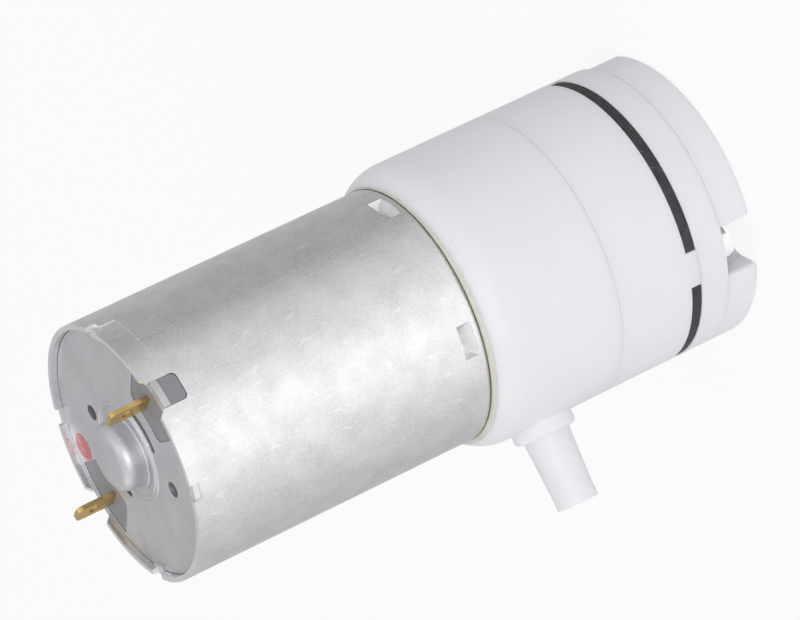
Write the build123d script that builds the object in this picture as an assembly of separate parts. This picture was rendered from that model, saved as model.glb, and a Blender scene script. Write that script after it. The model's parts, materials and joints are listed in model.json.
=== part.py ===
from build123d import *
import os
from math import cos, radians, sin, sqrt

os.makedirs("parts", exist_ok=True)

# A small three-chamber diaphragm air pump on a direct-current motor.
# Lengths are millimetres and angles are degrees.
# Z runs from the flat face of the head cover, through the head, to the motor's rear.
# The suction nozzle points along +X. An angle "psi" is counted from +X towards +Y.

# Clearances
push_gap = 0.01        # between pieces pushed or pressed together
running_gap = 0.03     # radial, between a shaft and its bush
loose_gap = 0.1        # radial, between a screw and a hole that it only passes through
rubber_gap = 0.05      # between the rubber and what it seats in
cut_over = 1.0         # how far a cut runs past the face that it opens

# Head stack, from the cover's outer face up to the motor
head_radius = 13.6
head_wall = 2.2        # of the seat and the crankcase
cover_thickness = 3.2
valve_plate_thickness = 3.0
sheet_thickness = 1.1
seat_height = 7.6
crankcase_height = 12.7
gasket_thickness = 0.3
seam_bevel = 0.08      # breaks the edges that meet at a seam
shoulder_round = 4.0   # the crankcase's edge beside the motor
shoulder_start = 2.4   # in front of the gasket
can_sink = 0.65        # how far the crankcase reaches past the gasket's front
cover_edge_round = 0.25

# Chambers and the three screws that clamp the head
chamber_count = 3
deck_web = 2.1         # between neighbouring cup holes
deck_rim = 0.5         # between a cup hole and the head's wall
cup_hole_gap = 0.2
cup_wall = 0.6
cup_taper = 0.9        # how much narrower a cup's foot is than its mouth
cup_foot_thickness = 1.0
stem_radius = 0.9
button_radius = 1.4
button_height = 0.9
screw_edge = 2.4       # from a screw's axis to the head's surface
screw_radius = 1.0
screw_length = 16.0
screw_head_radius = 1.8
screw_head_height = 1.6
cross_recess_width = 0.5
cross_recess_depth = 0.5
cross_recess_reach = 1.1
screw_point = 0.3      # bevel at the end of a shank
notch_width = 4.75
notch_lip_round = 0.45
tab_width = 3.45
sheet_inset = 0.1      # how far the rubber's edge lies inside the head's surface

# Valves
plate_web = 0.5        # between plenum and groove
plenum_depth = 1.5
flap_gap = 0.25        # between the outlet valve's edge and the plenum's wall
outlet_disc_thickness = 0.5
outlet_stem_radius = 0.6
outlet_hole_edge = 0.6  # from a cup's inner side to the middle of its outlet holes
outlet_hole_radius = 0.45
outlet_hole_angle = 9.0
exhaust_count = 6
exhaust_circle = 3.0
exhaust_radius = 0.55
groove_half_width = 1.4
groove_depth = 1.2
suction_offset = 0.5   # outwards from the groove's middle
suction_radius = 0.8
inlet_offset = 0.55    # outwards from the cup's centre
inlet_disc_radius = 1.75
inlet_disc_thickness = 0.4
inlet_stem_radius = 0.4
inlet_hole_count = 3
inlet_hole_circle = 1.1
inlet_hole_radius = 0.35
valve_bulb_extra = 0.25
valve_bulb_height = 0.7

# Diaphragm seat and crankcase
deck_thickness = 2.8
column_radius = 2.0
case_column_height = 6.4
motor_web_thickness = 2.2
nozzle_height = 6.3    # of its axis above the seam between seat and crankcase
nozzle_boss_radius = 2.97
nozzle_boss_height = 1.15
nozzle_boss_round = 0.45
nozzle_root_radius = 2.215
nozzle_tip_radius = 1.97
nozzle_length = 7.9    # past the head's surface
nozzle_land = 1.5
nozzle_bore_radius = 1.1

# Swinging bracket, pin and crank
swing_centre = 12.3
swing_tilt = 6.0
arm_thickness = 1.4
arm_width = 3.6
bracket_hub_radius = 2.4
bracket_hub_height = 2.8
pin_radius = 0.75
pin_reach = 8.0
pin_end_gap = 0.15
crank_radius = 4.2
crank_neck_radius = 2.9
crank_neck_height = 3.2
crank_mouth = 4.4
crank_floor = 0.4
crank_web_gap = 0.5
end_bevel = 0.2        # on the ends of pin and shaft

# Motor can
can_radius = 12.2
can_length = 30.8
can_wall = 0.8
can_front_round = 0.6
rim_wall = 0.5         # the can's wall beside the end plate
boss_radius = 3.05
boss_height = 1.5
boss_lip = 0.5
bush_radius = 2.3
bush_length = 2.5
gasket_reach = 0.22     # past the can's surface
gasket_lip = 0.25       # how far its edge stands up round the can
gasket_shift = 0.17
gasket_shift_angle = 45.0
motor_screw_circle = 8.5
motor_screw_radius = 1.0
motor_screw_length = 3.6
motor_screw_head_radius = 1.9
motor_screw_head_height = 1.3

# Pressed pockets near the can's front, and crimps and key notches in its rear rim
pocket_angles = (71.7, 143.0, 251.7, 323.0)
pocket_width = 3.3
pocket_depth = 1.0
pocket_rear = 2.4
pocket_deepest = 1.95
pocket_front = 0.9
pocket_step = 0.35
pocket_push = 0.45     # how far the pressed metal stands into the can
pocket_edge = 0.35
crimp_angles = (63.5, 153.5, 244.3, 336.5)
crimp_width = 1.6
crimp_depth = 0.9
crimp_tab_reach = 0.55
crimp_tab_thickness = 0.35
crimp_tab_wall = 0.3
key_angle = 106.6
key_width = 2.65
key_depth = 3.1
key_round = 0.5
key_flare = 0.55       # of the rim's corners beside a key notch
key_gap = 0.05
band_angle = 132.8     # middle of the flattened band beside the rim
band_span = 40.0
band_length = 2.4
band_depth = 0.08

# End plate
plate_recess = 0.65
plate_thickness = 0.65
plate_rim_gap = 0.05
plate_rim = 0.35
hub_radius = 3.2
hub_height = 2.25
hub_wall = 0.8
hub_round = 1.1
hub_flange_radius = 3.65
hub_flange_height = 0.3
bead_radii = (4.3, 4.75)
bead_width = 0.24
bead_height = 0.12
vent_radius = 5.35
vent_width = 0.65
vent_angle = 48.0
round_hole_radius = 0.75
round_holes = ((7.25, 51.5), (6.0, 224.0))  # circle and angle of each
stake_edge = 1.5        # from a stake's middle to the can's wall
stake_radius = 1.35
stake_depth = 0.14
stake_angles = (77.0, 138.5, 259.3, 318.5)
window_width = 4.1
window_angle = 39.0
window_round = 0.9
ear_recess = 0.06

# Brush gear
holder_thickness = 2.5
holder_gap = 0.1
holder_opening = 6.2
blade_angle = 111.0
terminal_edge = 2.25    # from a blade's middle to the can's wall
terminal_width = 2.0
terminal_thickness = 0.45
terminal_reach = 3.15  # past the can's rim
terminal_tail = 1.0
terminal_tip_round = 0.6
eye_radius = 0.5
eye_from_tip = 1.8
brush_length = 1.9
brush_width = 1.6
brush_height = 2.0
brush_drop = 1.25      # from the holder down to the brushes
arm_strip = 0.3
arm_strip_height = 2.4

# Magnets
magnet_thickness = 2.8
magnet_angle = 100.0
magnet_start = 3.4     # behind the can's front face
magnet_end_gap = 5.15  # from the magnets to the brush holder

# Shaft and armature
shaft_radius = 1.0
shaft_end_gap = 0.2
washer_radius = 1.9
washer_thickness = 0.3
core_start = 6.4       # behind the can's front face
pole_count = 3
pole_gap = 0.4         # between a pole and the magnets
pole_shoe = 1.3
pole_angle = 98.0
tooth_width = 3.0
core_hub_radius = 2.6
coil_depth = 1.5
coil_overhang = 1.6
coil_round = 1.2
commutator_radius = 2.3
commutator_wall = 0.6
commutator_length = 3.6
commutator_slot = 0.3
commutator_collar = 0.4
commutator_overrun = 0.4  # past the brushes, towards the rear

# Levels along Z, worked out from the stack
plate_low = cover_thickness
sheet_low = plate_low + valve_plate_thickness
seat_low = sheet_low + sheet_thickness
case_low = seat_low + seat_height
gasket_low = case_low + crankcase_height
can_low = gasket_low + gasket_thickness
rim = can_low + can_length
web_low = gasket_low - motor_web_thickness
deck_high = seat_low + deck_thickness
nozzle_level = case_low + nozzle_height
crank_low = swing_centre + crank_mouth
crank_high = web_low - crank_web_gap
plate_high = rim - plate_recess
plate_inner = plate_high - plate_thickness
holder_low = plate_inner - holder_thickness
hub_top = plate_high + hub_height
brush_low = holder_low - brush_drop - brush_height
commutator_high = brush_low + brush_height + commutator_overrun
commutator_low = commutator_high - commutator_length
core_low = can_low + core_start
core_high = commutator_low - loose_gap - coil_overhang

# Radii and angles that follow from the sizes above
cavity_radius = head_radius - head_wall
screw_circle = head_radius - screw_edge
chamber_step = sin(radians(180 / chamber_count))
cup_hole_radius = (2 * (cavity_radius - deck_rim) * chamber_step - deck_web) / (2 + 2 * chamber_step)
cup_circle = cavity_radius - deck_rim - cup_hole_radius
cup_mouth_radius = cup_hole_radius - cup_hole_gap - cup_wall
cup_foot_radius = cup_mouth_radius - cup_taper
inlet_circle = cup_circle + inlet_offset
suction_circle = inlet_circle + suction_offset
groove_inner = inlet_circle - groove_half_width
groove_outer = inlet_circle + groove_half_width
plenum_radius = groove_inner - plate_web
outlet_disc_radius = plenum_radius - flap_gap
outlet_hole_circle = cup_circle - cup_mouth_radius + outlet_hole_edge
nozzle_boss_reach = head_radius + nozzle_boss_height
nozzle_reach = head_radius + nozzle_length
can_inner = can_radius - can_wall
rim_inner = can_radius - rim_wall
plate_edge = rim_inner - plate_rim_gap
window_outer = plate_edge - plate_rim
window_inner = window_outer - window_width
stake_circle = can_inner - stake_edge
terminal_circle = can_inner - terminal_edge
magnet_inner = can_inner - magnet_thickness
pole_radius = magnet_inner - pole_gap
gasket_radius = can_radius + gasket_reach
chamber_angles = [360 / chamber_count * i for i in range(chamber_count)]
screw_angles = [psi + 180 / chamber_count for psi in chamber_angles]
pole_angles = [360 / pole_count * i for i in range(pole_count)]
pair_angles = [0, 180]
key_angles = [key_angle + turn for turn in pair_angles]
blade_angles = [blade_angle + turn for turn in pair_angles]
cross_angles = [key_angle - 90 + turn for turn in pair_angles]
pin_hole_radius = pin_radius + running_gap
pin_slope = radians(swing_tilt)
pin_end = swing_centre + (pin_reach + pin_end_gap) * cos(pin_slope)
shaft_tip = pin_end + pin_hole_radius * sin(pin_slope) + crank_floor
shaft_tail = hub_top - hub_wall - shaft_end_gap

# How a plain solid lies against the point that places it
on_base = (Align.CENTER, Align.CENTER, Align.MIN)
on_end = (Align.MIN, Align.CENTER, Align.MIN)


# Plain shapes

def disc(radius, low, high):
    """A round slab on the pump's axis, between two levels."""
    return Pos(0, 0, low) * Cylinder(radius, high - low, align=on_base)


def ring(outer, inner, low, high):
    """A round slab with a round hole."""
    return disc(outer, low, high) - disc(inner, low - cut_over, high + cut_over)


def peg(at_radius, radius, low, high):
    """A round peg parallel to the axis, out along +X."""
    return Pos(at_radius, 0, low) * Cylinder(radius, high - low, align=on_base)


def slab(start, end, width, low, high):
    """A block from one radius to another along +X."""
    return Pos(start, 0, low) * Box(end - start, width, high - low, align=on_end)


def sector_face(inner, outer, span):
    """A flat piece of a ring, centred on +X."""
    far = CenterArc((0, 0), outer, -span / 2, span)
    near = CenterArc((0, 0), inner, span / 2, -span)
    sides = [Line(far @ 1, near @ 0), Line(near @ 1, far @ 0)]
    return make_face([far, near] + sides)


def sector(inner, outer, span, low, high):
    """A solid piece of a ring, centred on +X."""
    return Pos(0, 0, low) * extrude(sector_face(inner, outer, span), high - low)


def turned(psi, shape):
    return Rot(0, 0, psi) * shape


def spread(angles, shape):
    """Copies of one shape, turned about the pump's axis."""
    return [turned(psi, shape) for psi in angles]


def revolved(points):
    """A solid turned from a half-section, given as (radius, level) points."""
    outline = Polyline(*[(radius, 0, level) for radius, level in points], close=True)
    return revolve(make_face(outline), Axis.Z)


def tilted(shape):
    """Places a shape, drawn about the origin, on the swinging bracket's leaning axis."""
    return Pos(0, 0, swing_centre) * Rot(0, swing_tilt, 0) * shape


# Head

def screw_notch():
    """The round-ended notch in the cover's rim over one screw."""
    end = Pos(screw_circle, 0) * Circle(notch_width / 2)
    mouth = Pos(screw_circle, 0) * Rectangle(
        head_radius, notch_width, align=(Align.MIN, Align.CENTER)
    )
    return end + mouth


def cover():
    outline = Circle(head_radius)
    for notch in spread(screw_angles, screw_notch()):
        outline -= notch
    lips = [v for v in outline.vertices() if abs(v.center().length - head_radius) < push_gap]
    outline = fillet(lips, notch_lip_round)
    body = extrude(outline, cover_thickness)
    face = body.faces().sort_by(Axis.Z)[0]
    body = fillet(face.outer_wire().edges(), cover_edge_round)
    seam = body.faces().sort_by(Axis.Z)[-1].outer_wire().edges().filter_by(GeomType.CIRCLE)
    body = chamfer([e for e in seam if abs(e.radius - head_radius) < push_gap], seam_bevel)
    exhaust = peg(exhaust_circle, exhaust_radius, -cut_over, cover_thickness + cut_over)
    exhaust_angles = [360 / exhaust_count * i for i in range(exhaust_count)]
    return body - spread(exhaust_angles, exhaust)


def valve_plate():
    body = disc(head_radius, plate_low, sheet_low)
    body = chamfer(body.edges().group_by(Axis.Z)[0], seam_bevel)
    body -= disc(plenum_radius, plate_low - cut_over, plate_low + plenum_depth)
    body -= ring(groove_outer, groove_inner, plate_low - cut_over, plate_low + groove_depth)
    low, high = plate_low - cut_over, sheet_low + cut_over
    body -= disc(outlet_stem_radius + rubber_gap, low, high)
    body -= spread(screw_angles, peg(screw_circle, screw_radius + loose_gap, low, high))
    body -= spread(screw_angles, peg(suction_circle, suction_radius, low, high))
    outlet = peg(outlet_hole_circle, outlet_hole_radius, low, high)
    inlet_stem = peg(inlet_circle, inlet_stem_radius + rubber_gap, low, high)
    inlet_angles = [180 + 360 / inlet_hole_count * i for i in range(inlet_hole_count)]
    inlets = spread(inlet_angles, peg(inlet_hole_circle, inlet_hole_radius, low, high))
    for psi in chamber_angles:
        body -= spread([psi - outlet_hole_angle, psi + outlet_hole_angle], outlet)
        body -= turned(psi, inlet_stem)
        body -= [turned(psi, Pos(inlet_circle, 0, 0) * hole) for hole in inlets]
    return body


def umbrella(flap_radius, flap_thickness, neck_radius, neck_length):
    """A mushroom valve, flap down on Z = 0: a disc, a stem through the plate and a bulb that holds it."""
    flap = disc(flap_radius, -flap_thickness, 0)
    bulb = disc(neck_radius + valve_bulb_extra, neck_length, neck_length + valve_bulb_height)
    return flap + disc(neck_radius, 0, neck_length) + bulb


def outlet_valve():
    """Covers the outlet holes from the plenum's side; its bulb is on the rubber's side."""
    floor = plate_low + plenum_depth
    neck = sheet_low - floor
    flap = umbrella(outlet_disc_radius, outlet_disc_thickness, outlet_stem_radius, neck)
    return Pos(0, 0, floor) * flap


def inlet_valves():
    """One flap in each chamber, under the suction groove."""
    neck = valve_plate_thickness - groove_depth
    flap = umbrella(inlet_disc_radius, inlet_disc_thickness, inlet_stem_radius, neck)
    return Compound(spread(chamber_angles, Pos(inlet_circle, 0, sheet_low) * Rot(180, 0, 0) * flap))


def screw_tab(width, inset, low, high):
    """The lug that stands through the rubber round one screw, out to the head's surface."""
    block = slab(screw_circle, head_radius + cut_over, width, low, high)
    return (block + peg(screw_circle, width / 2, low, high)) & disc(head_radius - inset, low, high)


def cup_section(radius, psi):
    return Pos(cup_circle * cos(radians(psi)), cup_circle * sin(radians(psi)), 0) * Circle(radius)


def cup_loft(mouth_radius, mouth_level, foot_radius, foot_offset, psi):
    """The round form from a flat mouth to a foot that leans with the bracket."""
    mouth = Pos(0, 0, mouth_level) * cup_section(mouth_radius, psi)
    foot = tilted(Pos(0, 0, foot_offset) * cup_section(foot_radius, psi))
    return loft([mouth, foot])


def diaphragm():
    """One rubber moulding: a clamped sheet and a cup, stem and button for each chamber."""
    body = disc(head_radius - sheet_inset, sheet_low, seat_low)
    foot = -arm_thickness / 2 - rubber_gap
    stem_end = arm_thickness / 2 + rubber_gap
    stem = peg(cup_circle, stem_radius, foot - cup_foot_thickness / 2, stem_end)
    button = peg(cup_circle, button_radius, stem_end, stem_end + button_height)
    button = chamfer(button.edges().group_by(Axis.Z)[-1], button_height / 2)
    for psi in chamber_angles:
        body += cup_loft(
            cup_mouth_radius + cup_wall, sheet_low + sheet_thickness / 2,
            cup_foot_radius + cup_wall, foot, psi,
        )
        body -= cup_loft(
            cup_mouth_radius, sheet_low, cup_foot_radius, foot - cup_foot_thickness, psi
        )
        body += tilted(turned(psi, stem))
        body += tilted(turned(psi, button))
    low, high = sheet_low - cut_over, seat_low + cut_over
    body -= spread(screw_angles, screw_tab(tab_width + 2 * rubber_gap, -cut_over, low, high))
    body -= spread(screw_angles, peg(suction_circle, suction_radius, low, high))
    bulb_hole = outlet_stem_radius + valve_bulb_extra + rubber_gap
    return body - disc(bulb_hole, low, high)


def diaphragm_seat():
    """The ring of the head that holds the rubber: a deck with cup holes, a skirt and screw columns."""
    body = disc(head_radius, seat_low, case_low)
    body = chamfer(body.edges().group_by(Axis.Z)[-1], seam_bevel)
    body -= disc(cavity_radius, deck_high, case_low + cut_over)
    body += spread(screw_angles, peg(screw_circle, column_radius, deck_high, case_low))
    body += spread(screw_angles, screw_tab(tab_width, 0, sheet_low, seat_low))
    low, high = sheet_low - cut_over, case_low + cut_over
    body -= spread(chamber_angles, peg(cup_circle, cup_hole_radius, seat_low - cut_over, high))
    body -= spread(screw_angles, peg(suction_circle, suction_radius, low, high))
    return body - spread(screw_angles, peg(screw_circle, screw_radius + loose_gap, low, high))


def nozzle():
    """The boss, the tapered spout and the straight end that a hose is pushed over."""
    taper = nozzle_reach - nozzle_land - nozzle_boss_reach
    boss_start = cavity_radius + head_wall / 2
    boss = Cylinder(nozzle_boss_radius, nozzle_boss_reach - boss_start, align=on_base)
    boss = fillet(boss.edges().group_by(Axis.Z)[-1], nozzle_boss_round)
    spout = Cone(nozzle_root_radius, nozzle_tip_radius, taper, align=on_base)
    land = Cylinder(nozzle_tip_radius, nozzle_land, align=on_base)
    along = Pos(0, 0, nozzle_level) * Rot(0, 90, 0)
    return (
        along * Pos(0, 0, boss_start) * boss
        + along * Pos(0, 0, nozzle_boss_reach) * spout
        + along * Pos(0, 0, nozzle_boss_reach + taper) * land
    )


def shifted_disc(radius, low, high):
    """A disc off centre, as the gasket lies."""
    return turned(gasket_shift_angle, Pos(gasket_shift, 0, 0) * disc(radius, low, high))


def crankcase():
    """The tall white housing with the nozzle; its web carries the motor."""
    crown = gasket_low - shoulder_start + shoulder_round
    body = disc(head_radius, case_low, crown)
    body = fillet(body.edges().group_by(Axis.Z)[-1], shoulder_round)
    body = chamfer(body.edges().group_by(Axis.Z)[0], seam_bevel)
    body -= disc(head_radius, gasket_low + can_sink, crown + cut_over)
    body -= shifted_disc(gasket_radius + push_gap, gasket_low, crown)
    body += nozzle()
    body -= disc(cavity_radius, case_low - cut_over, web_low)
    columns = spread(
        screw_angles, peg(screw_circle, column_radius, case_low, case_low + case_column_height)
    )
    body += columns
    pilot_high = plate_low + screw_length + loose_gap
    pilot = peg(screw_circle, screw_radius + push_gap, case_low - cut_over, pilot_high)
    body -= spread(screw_angles, pilot)
    body -= disc(boss_radius + loose_gap, web_low - cut_over, gasket_low + cut_over)
    motor_hole = peg(
        motor_screw_circle, motor_screw_radius + loose_gap, web_low - cut_over, gasket_low + cut_over
    )
    body -= spread(cross_angles, motor_hole)
    head_room = peg(
        motor_screw_circle, motor_screw_head_radius + loose_gap, case_low + case_column_height, web_low
    )
    body -= spread(cross_angles, head_room)
    bore = Cylinder(nozzle_bore_radius, nozzle_reach, align=on_base)
    start = cavity_radius - cut_over
    return body - Pos(start, 0, nozzle_level) * Rot(0, 90, 0) * bore


def cross_recess(face):
    """The cross cut in a screw head, from its face towards the shank."""
    reach = cross_recess_reach
    bar = slab(-reach, reach, cross_recess_width, face - cut_over, face + cross_recess_depth)
    return bar + turned(90, bar)


def pan_screw(radius, length, pan_radius, pan_height, face):
    """A pan-head screw with its shank towards +Z and its head below the level of its seat."""
    head = disc(pan_radius, face - pan_height, face)
    head = fillet(head.edges().group_by(Axis.Z)[0], pan_height / 2)
    head -= cross_recess(face - pan_height)
    shank = disc(radius, face, face + length)
    shank = chamfer(shank.edges().group_by(Axis.Z)[-1], screw_point)
    return head + shank


def cover_screws():
    screw = pan_screw(screw_radius, screw_length, screw_head_radius, screw_head_height, plate_low)
    return Compound(spread(screw_angles, Pos(screw_circle, 0, 0) * screw))


# Moving parts of the head

def swing_bracket():
    """The three-armed plate that pushes the cups; it nods about the bracket centre without turning."""
    half = arm_thickness / 2
    body = disc(bracket_hub_radius, -half, bracket_hub_height)
    rib = slab(0, cup_circle - button_radius - loose_gap, arm_thickness, 0, bracket_hub_height / 2)
    hole = peg(cup_circle, stem_radius + rubber_gap, -half - cut_over, half + cut_over)
    for psi in chamber_angles:
        body += turned(psi, slab(0, cup_circle, arm_width, -half, half))
        body += turned(psi, peg(cup_circle, arm_width / 2, -half, half))
        body += turned(psi, rib)
    for psi in chamber_angles:
        body -= turned(psi, hole)
    return tilted(body - disc(pin_radius + push_gap, -half - cut_over, bracket_hub_height + cut_over))


def bracket_pin():
    pin = disc(pin_radius, -arm_thickness / 2, pin_reach)
    return tilted(chamfer(pin.edges().group_by(Axis.Z)[-1], end_bevel))


def crank():
    """Turns with the shaft and carries the pin in a blind hole that leans."""
    body = disc(crank_radius, crank_low, crank_high - crank_neck_height)
    body = chamfer(body.edges().group_by(Axis.Z)[0], end_bevel)
    body += disc(crank_neck_radius, crank_high - crank_neck_height, crank_high)
    body -= disc(shaft_radius + push_gap, shaft_tip, crank_high + cut_over)
    pin_hole = disc(pin_hole_radius, crank_mouth - cut_over, pin_reach + pin_end_gap)
    return body - tilted(pin_hole)


# Motor

def pocket():
    """One pocket pressed into the can: two slopes, bowed inwards across its width."""
    bow = (pocket_width ** 2 / 4 + pocket_depth ** 2) / (2 * pocket_depth)
    outside = can_radius + cut_over
    points = [
        (outside, can_low + pocket_front),
        (can_radius, can_low + pocket_front),
        (can_radius - pocket_depth, can_low + pocket_deepest),
        (can_radius - pocket_step, can_low + pocket_rear),
        (outside, can_low + pocket_rear),
    ]
    outline = make_face(Polyline(*[(x, 0, z) for x, z in points], close=True))
    slopes = extrude(outline, pocket_width / 2, both=True)
    scoop = peg(can_radius - pocket_depth + bow, bow, can_low, can_low + can_length / 2)
    return slopes & scoop


def pocket_bulge():
    """The metal that a pocket pushes into the can."""
    start, end = can_inner - pocket_push, can_inner + can_wall / 2
    low, high = can_low + pocket_front, can_low + pocket_rear + pocket_edge
    return slab(start, end, pocket_width + 2 * pocket_edge, low, high)


def crimp_tab():
    """The lip of the rim that is bent in over the end plate."""
    start = rim_inner - crimp_tab_reach
    end = rim_inner + crimp_tab_wall
    lip = slab(start, end, crimp_width, plate_high, plate_high + crimp_tab_thickness)
    return lip + slab(rim_inner, end, crimp_width, rim - crimp_depth - crimp_tab_thickness, plate_high)


def key_block(start, end, width, low, high):
    """A block with its two front corners rounded: the notch and the key that fills it."""
    block = slab(start, end, width, low, high)
    return fillet(block.edges().filter_by(Axis.X).group_by(Axis.Z)[0], key_round)


def key_notch():
    """The notch for the brush holder's key, with the rim's corners cut back."""
    start, end = can_inner - cut_over, can_radius + cut_over
    half = key_width / 2
    points = [
        (start, -half, rim - key_flare),
        (start, half, rim - key_flare),
        (start, half + key_flare, rim + push_gap),
        (start, -half - key_flare, rim + push_gap),
    ]
    flare = extrude(make_face(Polyline(*points, close=True)), end - start, dir=(1, 0, 0))
    return key_block(start, end, key_width, rim - key_depth, rim + cut_over) + flare


def motor_can():
    """The drawn steel can with its front boss, one piece."""
    points = [
        (shaft_radius + loose_gap, can_low - boss_height),
        (boss_radius, can_low - boss_height),
        (boss_radius, can_low),
        (can_radius, can_low),
        (can_radius, rim),
        (rim_inner, rim),
        (rim_inner, plate_inner),
        (can_inner, plate_inner),
        (can_inner, can_low + can_wall),
        (bush_radius, can_low + can_wall),
        (bush_radius, can_low - boss_height + boss_lip),
        (shaft_radius + loose_gap, can_low - boss_height + boss_lip),
    ]
    body = revolved(points)
    front = [e for e in body.edges().filter_by(GeomType.CIRCLE)
             if abs(e.radius - can_radius) < push_gap and e.center().Z < can_low + can_wall]
    body = fillet(front, can_front_round)
    body += spread(pocket_angles, pocket_bulge())
    body -= spread(pocket_angles, pocket())
    outside = can_radius + cut_over
    band = sector(can_radius - band_depth, outside, band_span, rim - band_length, rim + cut_over)
    body -= turned(band_angle, band)
    crimp = slab(can_inner - cut_over, outside, crimp_width, rim - crimp_depth, rim + cut_over)
    body -= spread(crimp_angles, crimp)
    body -= spread(key_angles, key_notch())
    body += spread(crimp_angles, crimp_tab())
    low, high = can_low - cut_over, can_low + can_wall + cut_over
    hole = peg(motor_screw_circle, motor_screw_radius + push_gap, low, high)
    return body - spread(cross_angles, hole)


def rounded_window(inner, outer, span, corner):
    """A piece of a ring with its two inner corners rounded."""
    face = sector_face(inner, outer, span)
    corners = [v for v in face.vertices() if v.center().length < (inner + outer) / 2]
    return fillet(corners, corner)


def bead(radius):
    """A low embossed ring on the end plate."""
    points = [
        (radius - bead_width / 2, plate_high - push_gap),
        (radius, plate_high + bead_height),
        (radius + bead_width / 2, plate_high - push_gap),
    ]
    return revolved(points)


def arc_vent():
    """A round-ended slot that follows a circle round the hub."""
    low, high = plate_inner - cut_over, plate_high + cut_over
    body = sector(vent_radius - vent_width / 2, vent_radius + vent_width / 2, vent_angle, low, high)
    ends = spread([-vent_angle / 2, vent_angle / 2], peg(vent_radius, vent_width / 2, low, high))
    return body + ends


def stake_mark():
    """A shallow round dimple where the plate is staked to the brush holder."""
    ball = (stake_radius ** 2 + stake_depth ** 2) / (2 * stake_depth)
    return Pos(stake_circle, 0, plate_high + ball - stake_depth) * Sphere(ball)


def hole_pair(low, high):
    """The two round holes, which don't lie on one circle."""
    return [turned(psi, peg(circle, round_hole_radius, low, high)) for circle, psi in round_holes]


def motor_end_plate():
    """The steel end plate with its bearing hub, beads, vents, windows and key tongues."""
    points = [
        (0, hub_top - hub_wall),
        (bush_radius, hub_top - hub_wall),
        (bush_radius, plate_inner),
        (plate_edge, plate_inner),
        (plate_edge, plate_high),
        (hub_flange_radius, plate_high),
        (hub_flange_radius, plate_high + hub_flange_height),
        (hub_radius, plate_high + hub_flange_height),
        (hub_radius, hub_top),
        (0, hub_top),
    ]
    body = revolved(points)
    crown = [e for e in body.edges().filter_by(GeomType.CIRCLE)
             if abs(e.radius - hub_radius) < push_gap and abs(e.center().Z - hub_top) < push_gap]
    body = fillet(crown, hub_round)
    flange = [e for e in body.edges().filter_by(GeomType.CIRCLE)
              if abs(e.radius - hub_flange_radius) < push_gap and e.center().Z > plate_high + push_gap]
    body = fillet(flange, hub_flange_height / 2)
    for radius in bead_radii:
        body += bead(radius)
    body -= spread(key_angles, arc_vent())
    low, high = plate_inner - cut_over, plate_high + cut_over
    body -= hole_pair(low, high)
    body -= spread(stake_angles, stake_mark())
    window = rounded_window(window_inner, window_outer, window_angle, window_round)
    body -= spread(key_angles, Pos(0, 0, low) * extrude(window, high - low))
    outside = can_radius + cut_over
    tongue = slab(window_outer, outside, key_width - 2 * key_gap, plate_inner, plate_high)
    return body + spread(key_angles, tongue & disc(can_radius, plate_inner, plate_high))


def brush_holder():
    """The dark moulding under the end plate; its ears fill the windows and its keys the notches."""
    body = ring(can_inner - holder_gap, holder_opening, holder_low, plate_inner)
    outer = window_outer - key_gap
    span = window_angle * (1 - key_gap / window_inner)
    ear = rounded_window(window_inner + key_gap, outer, span, window_round)
    body += spread(key_angles, Pos(0, 0, plate_inner) * extrude(ear, plate_thickness - ear_recess))
    key = key_block(
        outer, can_radius, key_width - 2 * key_gap, rim - key_depth + key_gap, plate_inner
    )
    body += spread(key_angles, key & disc(can_radius - key_gap, holder_low, plate_inner))
    low, high = holder_low - cut_over, plate_high + cut_over
    body -= hole_pair(low, high)
    half = terminal_width / 2 + push_gap
    slot = slab(
        terminal_circle - half, terminal_circle + half, terminal_thickness + 2 * push_gap, low, high
    )
    return body - spread(blade_angles, slot)


def terminal(psi):
    """A brass blade in a radial plane, with a round eye for the wire."""
    start = terminal_circle - terminal_width / 2
    low, high = holder_low - terminal_tail, rim + terminal_reach
    blade = slab(start, start + terminal_width, terminal_thickness, low, high)
    tip = blade.edges().filter_by(Axis.Y).group_by(Axis.Z)[-1]
    blade = fillet(tip, terminal_tip_round)
    eye = Pos(terminal_circle, 0, high - eye_from_tip) * Rot(90, 0, 0) * Cylinder(
        eye_radius, terminal_thickness + cut_over
    )
    return turned(psi, blade - eye)


def carbon_brushes():
    """Two carbon blocks with faces curved to the commutator."""
    face = commutator_radius + running_gap
    high = brush_low + brush_height
    block = slab(0, face + brush_length, brush_width, brush_low, high)
    block -= disc(face, brush_low - cut_over, high + cut_over)
    return Compound(spread(blade_angles, block))


def brush_arms():
    """Spring strips from the terminals' tails to the backs of the brushes."""
    back = commutator_radius + running_gap + brush_length
    strip_low = holder_low - terminal_tail / 2 - arm_strip_height
    strip = Pos(0, terminal_thickness / 2 + arm_strip / 2, 0) * slab(
        back, terminal_circle, arm_strip, strip_low, holder_low - push_gap
    )
    plate = slab(back, back + arm_strip, brush_width, brush_low, holder_low - push_gap)
    return Compound(spread(blade_angles, strip + plate))


def magnet(psi):
    outer = can_inner - push_gap
    low, high = can_low + magnet_start, holder_low - magnet_end_gap
    return turned(psi, sector(magnet_inner, outer, magnet_angle, low, high))


def bush(low):
    """A sintered sleeve bearing."""
    return ring(bush_radius - push_gap, shaft_radius + running_gap, low, low + bush_length)


def motor_gasket():
    """A thin cream ring between crankcase and motor, off centre, with a lip round the can."""
    body = shifted_disc(gasket_radius, gasket_low, can_low + gasket_lip)
    body -= disc(can_radius + push_gap, can_low, can_low + cut_over)
    low, high = gasket_low - cut_over, can_low + cut_over
    body -= disc(boss_radius + loose_gap, low, high)
    return body - spread(cross_angles, peg(motor_screw_circle, motor_screw_radius + loose_gap, low, high))


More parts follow.
